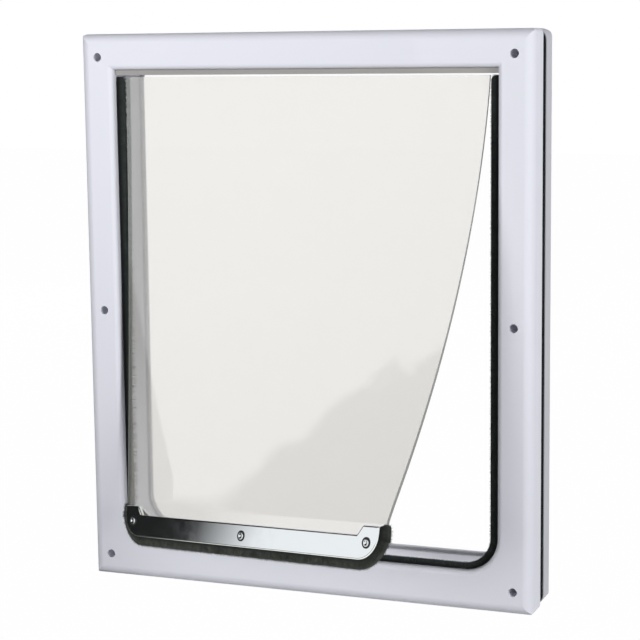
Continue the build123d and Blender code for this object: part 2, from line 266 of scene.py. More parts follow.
@dataclass(frozen=True)
class BrushPile:
    """Dense polypropylene brush pile, cut level at its tips.

    It is black at the roots, and olive grey at the tips as a painted highlight where light grazes the
    fibres.
    """

    colour: str
    # Colour of the painted highlight on the tips.
    tips: str
    # A fibre is near 0.1 mm thick. It is drawn coarser, so that the streaks show.
    fibre_mm: float
    tuft_mm: float = 6.0

    def make(self, name: str) -> bpy.types.Material:
        """Build the material.

        Args:
            name: Name of the material.

        Returns:
            The material.
        """
        material, tree, shader = new_material(name)
        shader.inputs["Roughness"].default_value = 0.85
        shader.inputs["Specular IOR Level"].default_value = 0.25
        shader.inputs["Sheen Weight"].default_value = 0.15
        shader.inputs["Sheen Roughness"].default_value = 0.5
        place = add_node(tree, "ShaderNodeTexCoord")
        fibres = add_node(
            tree,
            "ShaderNodeTexNoise",
            inputs={
                "Vector": place.outputs["Object"],
                "Scale": 1 / (self.fibre_mm * MM),
                "Detail": 4.0,
                "Roughness": 0.7,
            },
        )
        tufts = add_node(
            tree,
            "ShaderNodeTexNoise",
            inputs={"Vector": place.outputs["Object"], "Scale": 1 / (self.tuft_mm * MM), "Detail": 2.0},
        )
        shade = add_node(
            tree,
            "ShaderNodeMath",
            {"operation": "MULTIPLY"},
            {0: fibres.outputs["Fac"], 1: tufts.outputs["Fac"]},
        )
        ramp = add_node(
            tree,
            "ShaderNodeMapRange",
            inputs={"Value": shade.outputs["Value"], "From Min": 0.15, "From Max": 0.4},
        )
        # The colour runs from black at the roots to the painted highlight at the tips, less where a
        # strip carries painted shade.
        reach = add_node(tree, "ShaderNodeSeparateXYZ", inputs={0: place.outputs["UV"]})
        tip = add_node(
            tree,
            "ShaderNodeMapRange",
            {"interpolation_type": "SMOOTHSTEP"},
            {"Value": reach.outputs["Y"], "From Min": 0.15, "From Max": 0.75},
        )
        light = add_node(
            tree,
            "ShaderNodeMapRange",
            inputs={"Value": ramp.outputs["Result"], "To Min": 0.55, "To Max": 1.0},
        )
        share = add_node(
            tree,
            "ShaderNodeMath",
            {"operation": "MULTIPLY"},
            {0: tip.outputs["Result"], 1: light.outputs["Result"]},
        )
        highlighted = add_node(
            tree,
            "ShaderNodeMath",
            {"operation": "MULTIPLY"},
            {0: share.outputs["Value"], 1: reach.outputs["X"]},
        )
        colour = add_node(
            tree,
            "ShaderNodeMix",
            {"data_type": "RGBA"},
            {"Factor": highlighted.outputs["Value"], "A": linear(self.colour), "B": linear(self.tips)},
        )
        bump = add_node(
            tree,
            "ShaderNodeBump",
            inputs={"Strength": 0.8, "Distance": 0.4 * MM, "Height": fibres.outputs["Fac"]},
        )
        tree.links.new(colour.outputs["Result"], shader.inputs["Base Color"])
        tree.links.new(bump.outputs["Normal"], shader.inputs["Normal"])
        return material


@dataclass(frozen=True)
class PolishedSteel:
    """Stainless steel strip, pressed and polished along its length.

    It mirrors the studio, a little blurred, with faint handling marks.
    """

    colour: str
    roughness: float
    mark_mm: float = 9.0
    roughness_wave: float = 0.01

    def make(self, name: str) -> bpy.types.Material:
        """Build the material.

        Args:
            name: Name of the material.

        Returns:
            The material.
        """
        material, tree, shader = new_material(name)
        shader.inputs["Base Color"].default_value = linear(self.colour)
        shader.inputs["Metallic"].default_value = 1.0
        place = add_node(tree, "ShaderNodeTexCoord")
        marks = add_node(
            tree,
            "ShaderNodeTexNoise",
            inputs={"Vector": place.outputs["Object"], "Scale": 1 / (self.mark_mm * MM), "Detail": 3.0},
        )
        gloss = add_node(
            tree,
            "ShaderNodeMapRange",
            inputs={
                "Value": marks.outputs["Fac"],
                "From Min": 0.35,
                "From Max": 0.65,
                "To Min": self.roughness - self.roughness_wave,
                "To Max": self.roughness + self.roughness_wave,
            },
        )
        tree.links.new(gloss.outputs["Result"], shader.inputs["Roughness"])
        return material


@dataclass(frozen=True)
class SoftBlack:
    """Black closed-cell foam or bonded magnet: matt, with small open pores at its cut face."""

    colour: str
    # Foam's pores are near 0.2 mm, and a magnet's grain is finer. Both are drawn coarser, to show.
    pore_mm: float

    def make(self, name: str) -> bpy.types.Material:
        """Build the material.

        Args:
            name: Name of the material.

        Returns:
            The material.
        """
        material, tree, shader = new_material(name)
        shader.inputs["Base Color"].default_value = linear(self.colour)
        shader.inputs["Roughness"].default_value = 0.9
        shader.inputs["Specular IOR Level"].default_value = 0.1
        place = add_node(tree, "ShaderNodeTexCoord")
        pores = add_node(
            tree,
            "ShaderNodeTexVoronoi",
            inputs={"Vector": place.outputs["Object"], "Scale": 1 / (self.pore_mm * MM)},
        )
        bump = add_node(
            tree,
            "ShaderNodeBump",
            inputs={"Strength": 0.5, "Distance": 0.15 * MM, "Height": pores.outputs["Distance"]},
        )
        tree.links.new(bump.outputs["Normal"], shader.inputs["Normal"])
        return material


FINISHES = {
    # Moulded ABS, satin: cool white with a soft sheen along the rounded edges.
    Surface.MOULDED_WHITE: MouldedPlastic("E2E3EB", 0.42),
    # The same ABS on the rear frame, drawn greyer as painted shade of its side.
    Surface.MOULDED_REAR_PAINTED_SHADE: MouldedPlastic("BDBEC4", 0.42),
    # Moulded ABS, darkened grey as painted shade under the head of the opening: the clamp reads as a
    # dull line.
    Surface.CLAMP_PAINTED_SHADE: MouldedPlastic("979592", 0.4),
    # Calendered vinyl: glossy and clear, and the ground behind it looks ivory.
    Surface.CLEAR_VINYL: ClearVinyl("FEFCF8", "F2F0EA", 0.16),
    # Vinyl's cut edge, given a grey haze as painted shade, so it reads as a grey line.
    Surface.VINYL_EDGE_PAINTED_SHADE: ClearVinyl("DADCD8", "9EA19C", 0.65),
    # Vinyl in the strip along its left cut edge, given a darker haze as painted shade beside the pile.
    Surface.VINYL_BAND_PAINTED_SHADE: ClearVinyl("D6D7D1", "8C908A", 0.5),
    # Cut polypropylene pile: black between the fibres, with an olive grey painted highlight where light
    # grazes the tips.
    Surface.BRUSH_PILE_PAINTED_LIGHT: BrushPile("040505", "5E635A", 0.5),
    # The frame's pile stands in the shade of the tunnel: its painted highlight on the tips is darker, as
    # painted shade.
    Surface.FRAME_PILE_PAINTED_LIGHT: BrushPile("030404", "343B39", 0.5),
    # Polished stainless steel: a clear mirror of the light ground and the dark room.
    Surface.STEEL: PolishedSteel("F4F8F4", 0.05),
    # Steel in the pressed ring round a rivet, darkened as painted shade of the gap round the head: a
    # dull dark circle.
    Surface.RIVET_RIM_PAINTED_SHADE: PolishedSteel("4C504E", 0.35),
    # Closed-cell foam, matt black; its black also stands as painted shade of the deep gap for the door
    # leaf: a plain dark line.
    Surface.FOAM_AND_PAINTED_SHADE: SoftBlack("050506", 0.6),
    # Bonded ferrite: matt, brown black.
    Surface.MAGNET: SoftBlack("2A2826", 1.2),
}


class MaterialShelf:
    """Makes each finish once and hands it out."""

    def __init__(self) -> None:
        """Start with no finish made."""
        self.made: Dict[Surface, bpy.types.Material] = {}

    def get(self, surface: Surface) -> bpy.types.Material:
        """Return the material of a finish, made on first use.

        Args:
            surface: The finish.

        Returns:
            Its material.
        """
        if surface not in self.made:
            self.made[surface] = FINISHES[surface].make(surface.value)
        return self.made[surface]

    def dress(self, piece: bpy.types.Object, surface: Surface) -> None:
        """Give a piece one finish all over.

        Args:
            piece: Object that gets the finish.
            surface: The finish.
        """
        piece.data.materials.clear()
        piece.data.materials.append(self.get(surface))


class Ray(Enum):
    """Kinds of ray that the studio tells apart, by the Light Path node's outputs."""

    CAMERA = "Is Camera Ray"
    CLEAR = "Is Transmission Ray"
    MIRROR = "Is Glossy Ray"


@dataclass
class Studio:
    """Pale floor, soft lamps and the camera at the photograph's angle. Angles are in degrees."""

    focal_px: float = 1873.215
    picture_px: float = 640.0
    sensor_mm: float = 36.0
    camera_mm: Tuple[float, float, float] = (557.04, -1397.24, 216.70)
    yaw: float = 21.46719
    pitch: float = 8.35432
    roll: float = -0.67448
    floor_mm: float = -227.6
    floor_size: float = 12.0
    floor_white: float = 0.992
    floor_grey: str = "8C8C8C"
    # Mirrored rays see the floor dim to the left of these two places, in metres.
    floor_dim: Tuple[float, float] = (-0.19, -0.13)
    floor_dim_level: float = 0.06
    world_tint: str = "F2F3FA"
    horizon_light: float = 0.96
    ceiling_light: float = 0.05
    room_light: float = 0.015
    # The light fades over these heights of a direction: for plain rays, and for mirrored ones.
    light_fade: Tuple[float, float] = (0.08, 0.33)
    mirror_fade: Tuple[float, float] = (0.62, 0.85)
    # The lit part of the room ends at this compass angle, and leans over with height.
    dark_edge: float = 192.75
    dark_slant: float = 12.0
    slant_fade: Tuple[float, float] = (0.08, 0.45)
    edge_waves: float = 14.0
    edge_share: float = -0.67
    edge_blur: Tuple[float, float] = (-0.016, 0.018)
    right_fade: Tuple[float, float] = (-0.6, -0.4)

    def camera(self) -> None:
        """Add the camera and make it the scene's own."""
        yaw, pitch, roll = radians(self.yaw), radians(self.pitch), radians(self.roll)
        level = Vector((cos(yaw), sin(yaw), 0))
        back = Vector((sin(yaw) * cos(pitch), -cos(yaw) * cos(pitch), sin(pitch)))
        upright = level.cross(-back)
        right = level * cos(roll) + upright * sin(roll)
        up = upright * cos(roll) - level * sin(roll)
        data = bpy.data.cameras.new("photo_camera")
        data.sensor_width = self.sensor_mm
        data.lens = self.focal_px * self.sensor_mm / self.picture_px
        data.clip_end = 20
        camera = bpy.data.objects.new("photo_camera", data)
        bpy.context.scene.collection.objects.link(camera)
        turn = Matrix((right, up, back)).transposed().to_4x4()
        camera.matrix_world = Matrix.Translation(Vector(self.camera_mm) * MM) @ turn
        bpy.context.scene.camera = camera

    def seen(self, tree: bpy.types.NodeTree, *rays: Ray) -> bpy.types.NodeSocket:
        """Return a factor that is 1 for some kinds of ray.

        Args:
            tree: Node tree that gets the nodes.
            rays: The kinds of ray.

        Returns:
            The output socket of the factor.
        """
        path = add_node(tree, "ShaderNodeLightPath")
        factor = path.outputs[rays[0].value]
        for ray in rays[1:]:
            either = add_node(
                tree, "ShaderNodeMath", {"operation": "MAXIMUM"}, {0: factor, 1: path.outputs[ray.value]}
            )
            factor = either.outputs["Value"]
        return factor

    def floor(self) -> None:
        """Add a plain white floor that keeps a faint shadow.

        Mirrored rays see it dark at the left, as the steel bar's left end does.
        """
        bpy.ops.object.select_all(action="DESELECT")
        bpy.ops.mesh.primitive_plane_add(size=self.floor_size, location=(0, 0, self.floor_mm * MM))
        floor = bpy.context.active_object
        floor.name = "studio_floor"
        material, tree, shader = new_material("white_paper_floor")
        shader.inputs["Base Color"].default_value = linear(self.floor_grey)
        shader.inputs["Roughness"].default_value = 0.9
        shader.inputs["Specular IOR Level"].default_value = 0.0
        place = add_node(tree, "ShaderNodeTexCoord")
        parts = add_node(tree, "ShaderNodeSeparateXYZ", inputs={0: place.outputs["Object"]})
        dim = add_node(
            tree,
            "ShaderNodeMapRange",
            inputs={
                "Value": parts.outputs["X"],
                "From Min": self.floor_dim[0],
                "From Max": self.floor_dim[1],
                "To Min": self.floor_dim_level,
                "To Max": 1.0,
            },
        )
        mirrored = add_node(
            tree,
            "ShaderNodeMath",
            {"operation": "SUBTRACT", "use_clamp": True},
            {0: self.seen(tree, Ray.MIRROR), 1: self.seen(tree, Ray.CLEAR)},
        )
        level = add_node(
            tree,
            "ShaderNodeMix",
            {"data_type": "FLOAT"},
            {"Factor": mirrored.outputs["Value"], 2: 1.0, 3: dim.outputs["Result"]},
        )
        white = add_node(
            tree,
            "ShaderNodeEmission",
            inputs={"Color": linear("FFFFFF"), "Strength": level.outputs[0]},
        )
        share = add_node(
            tree,
            "ShaderNodeMath",
            {"operation": "MULTIPLY"},
            {0: self.seen(tree, Ray.CAMERA, Ray.CLEAR, Ray.MIRROR), 1: self.floor_white},
        )
        mix = add_node(
            tree,
            "ShaderNodeMixShader",
            inputs={0: share.outputs["Value"], 1: shader.outputs["BSDF"], 2: white.outputs["Emission"]},
        )
        tree.links.new(mix.outputs["Shader"], tree.nodes["Material Output"].inputs["Surface"])
        floor.data.materials.append(material)

    def world(self) -> None:
        """Give the world a soft light near the horizon, white to the camera.

        The ceiling and the left of the room are unlit. The steel bar and the clear sheet mirror
        the wavy edge between the lit and the unlit part.
        """
        world = bpy.data.worlds.new("studio_world")
        bpy.context.scene.world = world
        world.use_nodes = True
        tree = world.node_tree
        light = tree.nodes["Background"]
        place = add_node(tree, "ShaderNodeTexCoord")
        parts = add_node(tree, "ShaderNodeSeparateXYZ", inputs={0: place.outputs["Generated"]})
        glossy = self.seen(tree, Ray.MIRROR)
        horizon = add_node(
            tree,
            "ShaderNodeMapRange",
            inputs={
                "Value": parts.outputs["Z"],
                "From Min": self.light_fade[0],
                "From Max": self.light_fade[1],
                "To Min": self.horizon_light,
                "To Max": self.ceiling_light,
            },
        )
        mirrored = add_node(
            tree,
            "ShaderNodeMapRange",
            inputs={
                "Value": parts.outputs["Z"],
                "From Min": self.mirror_fade[0],
                "From Max": self.mirror_fade[1],
                "To Min": 1.0,
                "To Max": self.ceiling_light,
            },
        )
        height = add_node(
            tree,
            "ShaderNodeMix",
            {"data_type": "FLOAT"},
            {"Factor": glossy, 2: horizon.outputs["Result"], 3: mirrored.outputs["Result"]},
        )
        edge = radians(self.dark_edge)
        past = add_node(
            tree,
            "ShaderNodeVectorMath",
            {"operation": "DOT_PRODUCT"},
            {0: place.outputs["Generated"], 1: (-sin(edge), cos(edge), 0.0)},
        )
        slant = add_node(
            tree,
            "ShaderNodeMapRange",
            inputs={
                "Value": parts.outputs["Z"],
                "From Min": self.slant_fade[0],
                "From Max": self.slant_fade[1],
                "To Min": 0.0,
                "To Max": sin(radians(self.dark_slant)),
            },
        )
        wobble = add_node(
            tree,
            "ShaderNodeTexNoise",
            inputs={"Vector": place.outputs["Generated"], "Scale": self.edge_waves, "Detail": 2.0},
        )
        wave = add_node(
            tree,
            "ShaderNodeMath",
            {"operation": "MULTIPLY_ADD"},
            {0: wobble.outputs["Fac"], 1: slant.outputs["Result"], 2: slant.outputs["Result"]},
        )
        reach = add_node(
            tree,
            "ShaderNodeMath",
            {"operation": "MULTIPLY_ADD"},
            {0: wave.outputs["Value"], 1: self.edge_share, 2: past.outputs["Value"]},
        )
        lit = add_node(
            tree,
            "ShaderNodeMapRange",
            inputs={
                "Value": reach.outputs["Value"],
                "From Min": self.edge_blur[0],
                "From Max": self.edge_blur[1],
            },
        )
        side = add_node(
            tree,
            "ShaderNodeMapRange",
            inputs={
                "Value": parts.outputs["X"],
                "From Min": self.right_fade[0],
                "From Max": self.right_fade[1],
            },
        )
        either = add_node(
            tree,
            "ShaderNodeMath",
            {"operation": "MAXIMUM"},
            {0: lit.outputs["Result"], 1: side.outputs["Result"]},
        )
        strength = add_node(
            tree,
            "ShaderNodeMath",
            {"operation": "MULTIPLY_ADD"},
            {0: height.outputs[0], 1: either.outputs["Value"], 2: self.room_light},
        )
        light.inputs["Color"].default_value = linear(self.world_tint)
        tree.links.new(strength.outputs["Value"], light.inputs["Strength"])
        white = add_node(
            tree, "ShaderNodeBackground", inputs={"Color": linear("FFFFFF"), "Strength": 1.0}
        )
        mix = add_node(
            tree,
            "ShaderNodeMixShader",
            inputs={
                0: self.seen(tree, Ray.CAMERA, Ray.CLEAR),
                1: light.outputs["Background"],
                2: white.outputs["Background"],
            },
        )
        tree.links.new(mix.outputs["Shader"], tree.nodes["World Output"].inputs["Surface"])

    def hang(
        self, name: str, data: bpy.types.Light, place: Sequence[float], target: Sequence[float]
    ) -> None:
        """Put a lamp in its place, out of sight of the steel and the clear sheet.

        Args:
            name: Name of the lamp.
            data: The lamp's data.
            place: Its place in metres.
            target: Point that it faces, in metres.
        """
        lamp = bpy.data.objects.new(name, data)
        bpy.context.scene.collection.objects.link(lamp)
        lamp.visible_glossy = False
        lamp.visible_transmission = False
        turn = (Vector(target) - Vector(place)).to_track_quat("-Z", "Y")
        lamp.matrix_world = Matrix.Translation(Vector(place)) @ turn.to_matrix().to_4x4()

    def lamp(
        self,
        name: str,
        place: Sequence[float],
        target: Sequence[float],
        size: Tuple[float, float],
        power: float,
    ) -> None:
        """Add a soft rectangular lamp.

        Args:
            name: Name of the lamp.
            place: Its place in metres.
            target: Point that it faces, in metres.
            size: Its width and height in metres.
            power: Its power in watts.
        """
        data = bpy.data.lights.new(name, "AREA")
        data.shape = "RECTANGLE"
        data.size, data.size_y = size
        data.energy = power
        self.hang(name, data, place, target)

    def spot(
        self,
        name: str,
        place: Sequence[float],
        target: Sequence[float],
        cone: float,
        power: float,
        soft: float = 0.6,
    ) -> None:
        """Add a soft spot that fades towards the edge of its cone.

        Args:
            name: Name of the lamp.
            place: Its place in metres.
            target: Point that it faces, in metres.
            cone: Whole angle of its cone in degrees.
            power: Its power in watts.
            soft: Its radius in metres.
        """
        data = bpy.data.lights.new(name, "SPOT")
        data.spot_size = radians(cone)
        data.spot_blend = 1.0
        data.shadow_soft_size = soft
        data.energy = power
        self.hang(name, data, place, target)

    def build(self) -> None:
        """Set the stage."""
        bpy.context.scene.view_settings.view_transform = "Standard"
        self.camera()
        self.floor()
        self.world()
        # From the front left: it shades the face from top to bottom and to the right.
        self.spot("key_spot", (-0.7, -1.95, 0.45), (-0.2, 0, 0.22), cone=48, power=150)
        # From behind and above: it lights the sill of the opening.
        self.spot("sill_spot", (0.1, 1.5, 0.75), (0.03, 0.01, -0.19), cone=15, power=120, soft=0.2)
        # From the right: it lights the outer side of the frames.
        self.lamp("side_softbox", (1.8, -0.75, 0.35), (0, 0, 0.15), size=(0.5, 0.7), power=22)
        # From behind on the left: it lights the inside of the right jamb.
        self.lamp("back_softbox", (-1.0, 1.8, 0.3), (0, 0, 0), size=(0.7, 0.7), power=18)


@dataclass(frozen=True)
class Station:
    """One cross section of a brush strip, in millimetres."""

    root: Vector
    tip: Vector
    side: Vector
    swell: float = 1.0
    fringe: float = 0.0
    # Share of the painted highlight at the tips; below 1 as painted shade.
    tone: float = 1.0


@dataclass
class BrushStrip:
    """Brush pile along a path: a rounded core and many fine fibres that stand out of it.

    Sizes are in millimetres and angles in degrees.
    """

    name: str
    stations: List[Station]
    thickness: float
    fibres: int
    spread: float
    seed: int
    ring: int = 16
    core_reach: float = 0.85
    # The core's section is a squared oval that narrows towards the tips.
    end_power: float = 0.55
    side_power: float = 0.6
    taper: float = 0.18
    smooth: float = 50.0
    # A section with no swell still keeps this share of its reach.
    least_reach: float = 0.35
    # A fibre is near 0.1 mm thick. It is drawn thicker, so that fewer fill the pile.
    fibre_radius: float = 0.26
    fibre_root: float = 0.3
    fibre_reach: Tuple[float, float] = (0.86, 1.02)
    fibre_inset: float = 0.85
    crown: float = 0.12
    waver: float = 0.2
    lean: float = 1.2
    # Only fibres beyond this place across the strip bend out into a fringe.
    fringe_side: float = -0.3
    # A step along the roots counts for this share of one along the tips.
    root_share: float = 0.5

    def grown(self, swell: float) -> float:
        """Return the share of its reach that a section of some swell has."""
        return self.least_reach + (1 - self.least_reach) * swell

    def core(self) -> bpy.types.Object:
        """Wrap a flat grid round the path and close it at both ends.

        Returns:
            The core.
        """
        columns = len(self.stations) - 1
        bpy.ops.object.select_all(action="DESELECT")
        bpy.ops.mesh.primitive_grid_add(x_subdivisions=columns, y_subdivisions=self.ring, size=1)
        core = bpy.context.active_object
        core.name = self.name
        reach: Dict[int, Tuple[float, float]] = {}
        for vertex in core.data.vertices:
            station = self.stations[round((vertex.co.x + 0.5) * columns)]
            angle = 2 * pi * (vertex.co.y + 0.5)
            height = 0.5 - 0.5 * self.squared(cos(angle), self.end_power)
            side = self.squared(sin(angle), self.side_power) * (1 - self.taper * height)
            height *= self.core_reach * self.grown(station.swell)
            half = self.thickness / 2 * station.swell
            place = station.root.lerp(station.tip, height) + station.side * (side * half)
            reach[vertex.index] = (station.tone, height)
            vertex.co = place * MM
        layer = core.data.uv_layers.active or core.data.uv_layers.new(name="reach")
        layer.name = "reach"
        for loop in core.data.loops:
            layer.data[loop.index].uv = reach[loop.vertex_index]
        bpy.ops.object.mode_set(mode="EDIT")
        bpy.ops.mesh.select_all(action="SELECT")
        bpy.ops.mesh.remove_doubles(threshold=0.1 * HAIR * MM)
        bpy.ops.mesh.fill_holes(sides=0)
        bpy.ops.object.mode_set(mode="OBJECT")
        face_outwards()
        bpy.ops.object.shade_smooth_by_angle(angle=radians(self.smooth))
        return core

    def squared(self, value: float, power: float) -> float:
        """Return a value between -1 and 1 pushed out towards its ends."""
        return abs(value) ** power * (1 if value > 0 else -1)

    def tufts(self) -> bpy.types.Object:
        """Copy a three-sided cone along the path as the fibres.

        The first number of a fibre's UV map is its share of the painted highlight, and the second its
        reach from root to tip.

        Returns:
            The fibres in one mesh.
        """
        bpy.ops.object.select_all(action="DESELECT")
        bpy.ops.mesh.primitive_cone_add(vertices=3, radius1=1, radius2=0, depth=1, location=(0, 0, 0.5))
        cone = bpy.context.active_object
        bpy.ops.object.transform_apply(location=True, rotation=False, scale=False)
        shape = [vertex.co.copy() for vertex in cone.data.vertices]
        sides = [list(polygon.vertices) for polygon in cone.data.polygons]
        draw = random.Random(self.seed)
        points: List[Vector] = []
        faces: List[List[int]] = []
        reach: List[Tuple[float, float]] = []
        last = len(self.stations) - 1
        lengths = [0.0]
        for here, after in zip(self.stations, self.stations[1:]):
            step = (after.tip - here.tip).length + self.root_share * (after.root - here.root).length
            lengths.append(lengths[-1] + step)
        for _ in range(self.fibres):
            goal = draw.random() * lengths[-1]
            index = min(bisect_left(lengths, goal), last) or 1
            share = (goal - lengths[index - 1]) / (lengths[index] - lengths[index - 1])
            here, after = self.stations[index - 1], self.stations[index]
            root = here.root.lerp(after.root, share)
            tip = here.tip.lerp(after.tip, share)
            side = here.side.lerp(after.side, share).normalized()
            swell = here.swell + (after.swell - here.swell) * share
            along = (after.tip - here.tip).normalized()
            fringe = here.fringe + (after.fringe - here.fringe) * share
            across = draw.uniform(-1, 1)
            half = self.thickness / 2 * swell
            start = root.lerp(tip, self.fibre_root) + side * (across * half * self.fibre_inset)
            length = draw.uniform(*self.fibre_reach) - self.crown * across**2
            end = root.lerp(tip, length * self.grown(swell))
            end += side * (across * (half + self.spread) + draw.gauss(0, self.waver))
            if across < self.fringe_side and fringe > 0:
                end -= side * sqrt(draw.uniform(0, 1)) * fringe
            end += along * draw.gauss(0, self.lean)
            fibre = end - start
            turn = fibre.to_track_quat("Z", "Y")
            base = len(points)
            for corner in shape:
                flat = Vector((corner.x, corner.y, 0)) * self.fibre_radius
                points.append((start + turn @ (flat + Vector((0, 0, corner.z * fibre.length)))) * MM)
                reach.append((here.tone, self.fibre_root + corner.z * (1 - self.fibre_root)))
            faces += [[base + corner for corner in face] for face in sides]
        bpy.data.objects.remove(cone)
        mesh = bpy.data.meshes.new(f"{self.name}_fibres")
        mesh.from_pydata(points, [], faces)
        layer = mesh.uv_layers.new(name="reach")
        for loop in mesh.loops:
            layer.data[loop.index].uv = reach[loop.vertex_index]
        tufts = bpy.data.objects.new(f"{self.name}_fibres", mesh)
        bpy.context.scene.collection.objects.link(tufts)
        return tufts

    def build(self) -> bpy.types.Object:
        """Make the core and its fibres, and join them.

        Returns:
            The brush strip.
        """
        core = self.core()
        tufts = self.tufts()
        bpy.ops.object.select_all(action="DESELECT")
        tufts.select_set(True)
        core.select_set(True)
        bpy.context.view_layer.objects.active = core
        bpy.ops.object.join()
        return core


def arc_angles(count: int) -> List[float]:
    """Return angles from 0 up to a quarter turn, without its ends."""
    return [pi / 2 * step / count for step in range(1, count)]


@dataclass
class Flap:
    """The hanging flap: clear sheet, riveted steel bars and pile seal.

    Sizes are in millimetres and angles in degrees. The bar's own numbers are measured along and
    up its plane from its middle.
    """

    shelf: MaterialShelf
    sheet_half: float = 154.5
    sheet_thickness: float = 2.5
    hinge_y: float = -14.0
    hinge_z: float = 192.55
    sheet_drop: float = 349.75
    left_inset: float = 1.0
    left_forward: float = 18.0
    yaw: float = 25.6
    rise: float = 6.9
    lean: float = 14.9
    twist_power: float = 1.2
    forward_power: float = 1.7
    shoulder_height: float = 18.0
    bend_reach: float = 42.0
    bend_rounds: int = 14
    # Height above the bar's middle at which the rounded bend ends.
    bend_end: float = 13.5
    columns: int = 96
    rows: int = 112
    sheet_smooth: float = 35.0
    bar_half: float = 150.5
    bar_bottom: float = 12.7
    bar_corner: float = 20.0
    carrier: float = 5.3
    ear_top: float = 12.5
    ear_inner: float = 128.3
    ear_outer: float = 133.8
    ear_round: float = 1.2
    notch_round: float = 0.7
    bar_top: float = 5.3
    bar_fold: float = 3.75
    bar_edge: float = 1.1
    bar_edge_steps: int = 4
    bar_turns: int = 14
    bar_crease: float = 50.0
    bar_smooth: float = 30.0
    face_margin: float = 0.15
    pile_height: float = 8.7
    pile_thickness: float = 6.2
    pile_sunk: float = 3.0
    pile_rise: float = 1.2
    pile_below_ear: float = 0.3
    pile_fibres: int = 9000
    pile_spread: float = 0.35
    pile_seed: int = 11
    pile_steps: int = 60
    pile_turns: int = 18
    # Painted shade: the pile's painted highlight on the tips is dimmed at its right end by this share.
    right_painted_shade: float = 0.6
    # Depth below a tip of the strip, and the swell there.
    pile_ends: Tuple[Tuple[float, float], ...] = (
        (0.0, 0.6),
        (0.8, 0.84),
        (1.8, 0.95),
        (3.4, 1.0),
        (6.5, 1.0),
        (10.0, 1.0),
    )
    end_fan: float = 0.25
    corner_dip: float = 1.6
    rivet_radius: float = 1.9
    rivet_head: float = 2.9
    rivet_rim: float = 4.2
    rivet_seat: float = 5.0
    rivet_smooth: float = 40.0
    rivet_sides: int = 40
    rivet_places: Tuple[Tuple[float, float], ...] = ((-139.0, 0.0), (0.0, -3.8), (139.0, 0.0))

    def left_edge(self, share: float) -> Vector:
        """Return the sheet's left edge at a share of its drop, in millimetres.

        Args:
            share: 0 at the hinge line, 1 at the shoulder.

        Returns:
            The point.
        """
        share = max(share, 0.0)
        return Vector(
            (
                -self.sheet_half + self.left_inset * share**2,
                self.hinge_y - self.left_forward * share**self.forward_power,
                self.hinge_z - self.sheet_drop * share,
            )
        )

    def across(self, share: float) -> Vector:
        """Return the direction of the sheet's level line at a share of its drop.

        Args:
            share: 0 at the hinge line, 1 at the shoulder.

        Returns:
            A unit vector.
        """
        share = max(share, 0.0)
        turn = radians(self.yaw) * share**self.twist_power
        climb = radians(self.rise) * share**self.twist_power
        return Vector((cos(turn) * cos(climb), -sin(turn) * cos(climb), sin(climb)))

    def bar_axes(self) -> Tuple[Vector, Vector, Vector, Vector]:
        """Return the plane of the riveted bar.

        Returns:
            Its middle in millimetres, and its directions across, up and to the front.
        """
        across = self.across(1.0)
        yaw, lean = radians(self.yaw), radians(self.lean)
        level_front = Vector((-sin(yaw), -cos(yaw), 0))
        upright = level_front.cross(across)
        square = across.cross(upright)
        up = upright * cos(lean) - square * sin(lean)
        front = square * cos(lean) + upright * sin(lean)
        middle = self.left_edge(1.0) + across * self.sheet_half - up * self.shoulder_height
        return middle, across, up, front

    def soften(self, sheet: bpy.types.Object, strand: Sequence[int]) -> None:
        """Round the bend above the bar along one line of the sheet that runs down.

        Args:
            sheet: The sheet.
            strand: Numbers of the line's vertices near the bend, from the top down.
        """
        points = [sheet.data.vertices[index].co.copy() for index in strand]
        for _ in range(self.bend_rounds):
            triples = list(zip(points, points[1:], points[2:]))
            points[1:-1] = [(before + 2 * here + after) / 4 for before, here, after in triples]
        for index, point in zip(strand, points):
            sheet.data.vertices[index].co = point

    def build_sheet(self) -> bpy.types.Object:
        """Shape the clear sheet from a flat grid, and hang it in its twist.

        Returns:
            The sheet.
        """
        tail = self.bar_bottom - self.carrier
        shoulder = self.shoulder_height
        length = self.sheet_drop + shoulder + tail
        bend = (self.sheet_drop - self.bend_reach, self.sheet_drop + shoulder - self.bend_end)
        bpy.ops.object.select_all(action="DESELECT")
        bpy.ops.mesh.primitive_grid_add(x_subdivisions=self.columns, y_subdivisions=self.rows, size=1)
        sheet = bpy.context.active_object
        sheet.name = "clear_flap_sheet"
        middle, across, up, _ = self.bar_axes()
        corner = self.bar_corner - self.carrier
        tail_half = self.bar_half - self.carrier
        first_column = 1 / self.columns - 0.5
        shaded_border = [face.index for face in sheet.data.polygons if face.center.x < first_column]
        strands: Dict[int, List[Tuple[float, int]]] = {}
        for vertex in sheet.data.vertices:
            side = 2 * vertex.co.x * self.sheet_half
            drop = (0.5 - vertex.co.y) * length
            if bend[0] < drop < bend[1]:
                strands.setdefault(round(side * 100), []).append((drop, vertex.index))
            if drop <= self.sheet_drop:
                share = drop / self.sheet_drop
                place = self.left_edge(share) + self.across(share) * (side + self.sheet_half)
            else:
                height = shoulder - (drop - self.sheet_drop)
                half = self.sheet_half
                if height < self.ear_top:
                    half = tail_half
                low = corner - tail
                if height < low:
                    half = tail_half - corner + sqrt(max(corner**2 - (low - height) ** 2, 0))
                place = middle + across * (side / self.sheet_half * half) + up * height
            vertex.co = place * MM
        for strand in strands.values():
            self.soften(sheet, [index for _, index in sorted(strand)])
        sheet.data.update()
        solid = sheet.modifiers.new("thickness", "SOLIDIFY")
        solid.thickness = self.sheet_thickness * MM
        solid.offset = 0
        solid.use_even_offset = True
        solid.material_offset_rim = 1
